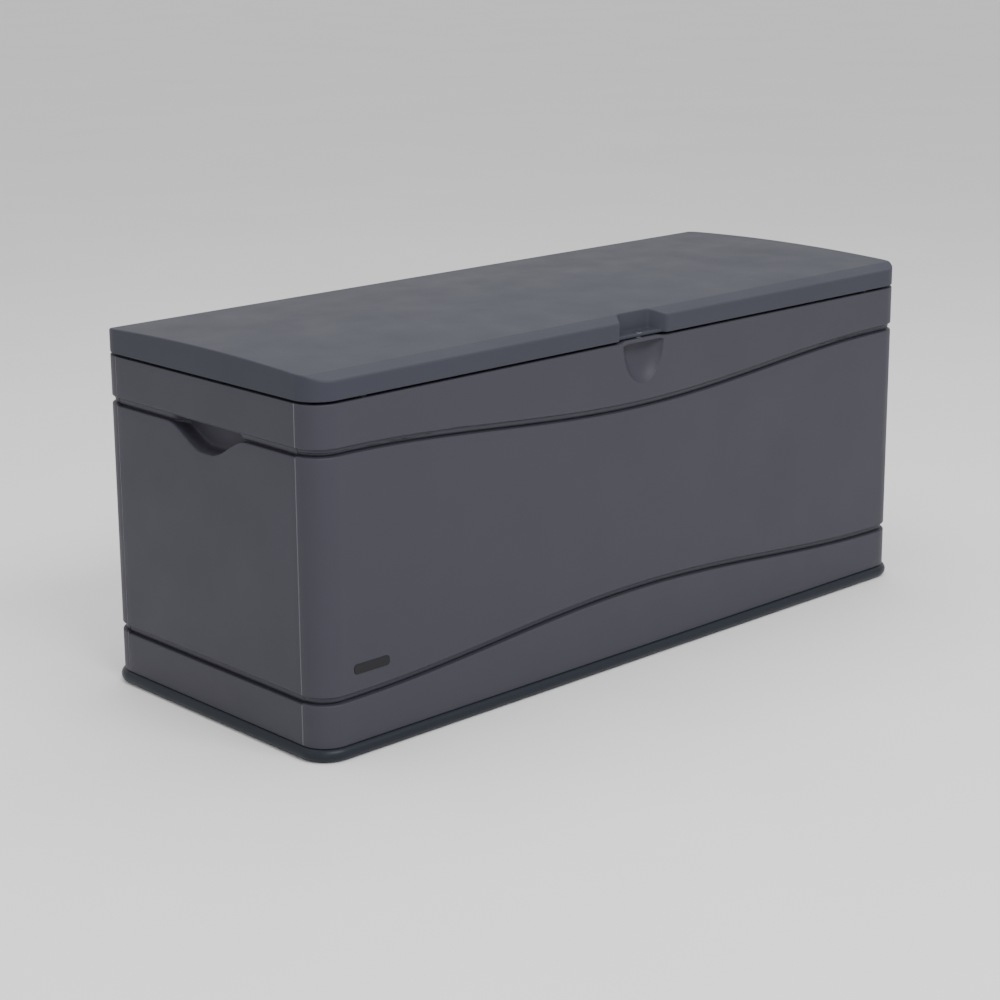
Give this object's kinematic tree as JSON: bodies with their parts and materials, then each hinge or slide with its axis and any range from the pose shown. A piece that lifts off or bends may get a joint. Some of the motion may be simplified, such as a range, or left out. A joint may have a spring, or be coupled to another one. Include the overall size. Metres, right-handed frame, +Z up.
{
  "type": "deck storage box",
  "caption": "Long grey resin deck box on a black plinth, with a crowned lid on sprung rear hinges, side hand grips and a front finger scoop with a padlock hole.",
  "frame": {"origin": "on the ground at the middle of the closed box's footprint", "axes": "+X to the right seen from the front, front faces -Y, +Z up; the lid hinges run along X at the rear"},
  "size_m": [1.524, 0.612, 0.657],
  "materials": {
    "base_plastic": "satin moulded, near black",
    "wall_plastic": "fine grained matte moulded, dark grey",
    "lid_plastic": "fine grained matte moulded, dark grey",
    "liner_plastic": "smooth moulded, dark grey",
    "plate_plastic": "semi gloss, dark",
    "strap_steel": "zinc plated",
    "hinge_steel": "black powder coat",
    "brace_steel": "galvanised",
    "pin_steel": "zinc plated",
    "spring_steel": "oiled spring wire",
    "screw_steel": "zinc plated",
    "eyelet_steel": "dulled stainless",
    "bush_nylon": "natural nylon",
    "bumper_rubber": "soft black"
  },
  "bodies": {
    "box": {"base_tray": "base_plastic", "front_panel": "wall_plastic", "rear_panel": "wall_plastic", "left_panel": "wall_plastic", "right_panel": "wall_plastic", "strap_front_left": "strap_steel", "strap_front_right": "strap_steel", "strap_rear_left": "strap_steel", "strap_rear_right": "strap_steel", "strap_screws": "screw_steel", "floor_screws": "screw_steel", "hinge_body_left": "hinge_steel", "hinge_body_centre": "hinge_steel", "hinge_body_right": "hinge_steel", "hinge_pin_left": "pin_steel", "hinge_pin_centre": "pin_steel", "hinge_pin_right": "pin_steel", "hinge_spring_left": "spring_steel", "hinge_spring_right": "spring_steel", "hinge_body_screws": "screw_steel", "lock_eyelet_body": "eyelet_steel", "label_plate": "plate_plastic"},
    "lid": {"lid_shell": "lid_plastic", "lid_liner": "liner_plastic", "lid_brace_front": "brace_steel", "lid_brace_rear": "brace_steel", "brace_screws": "screw_steel", "hinge_lid_left": "hinge_steel", "hinge_lid_centre": "hinge_steel", "hinge_lid_right": "hinge_steel", "hinge_bushes": "bush_nylon", "hinge_lid_screws": "screw_steel", "lock_eyelet_lid": "eyelet_steel", "lid_bumpers": "bumper_rubber"}
  },
  "joints": [
    {"name": "lid_hinge", "type": "hinge", "parent": "box", "child": "lid", "pos_m": [0, 0.299, 0.605], "axis": [-1, 0, 0], "range_deg": [0, 100], "stiffness_Nm_per_rad": 8.5, "springref_deg": 100.27}
  ]
}
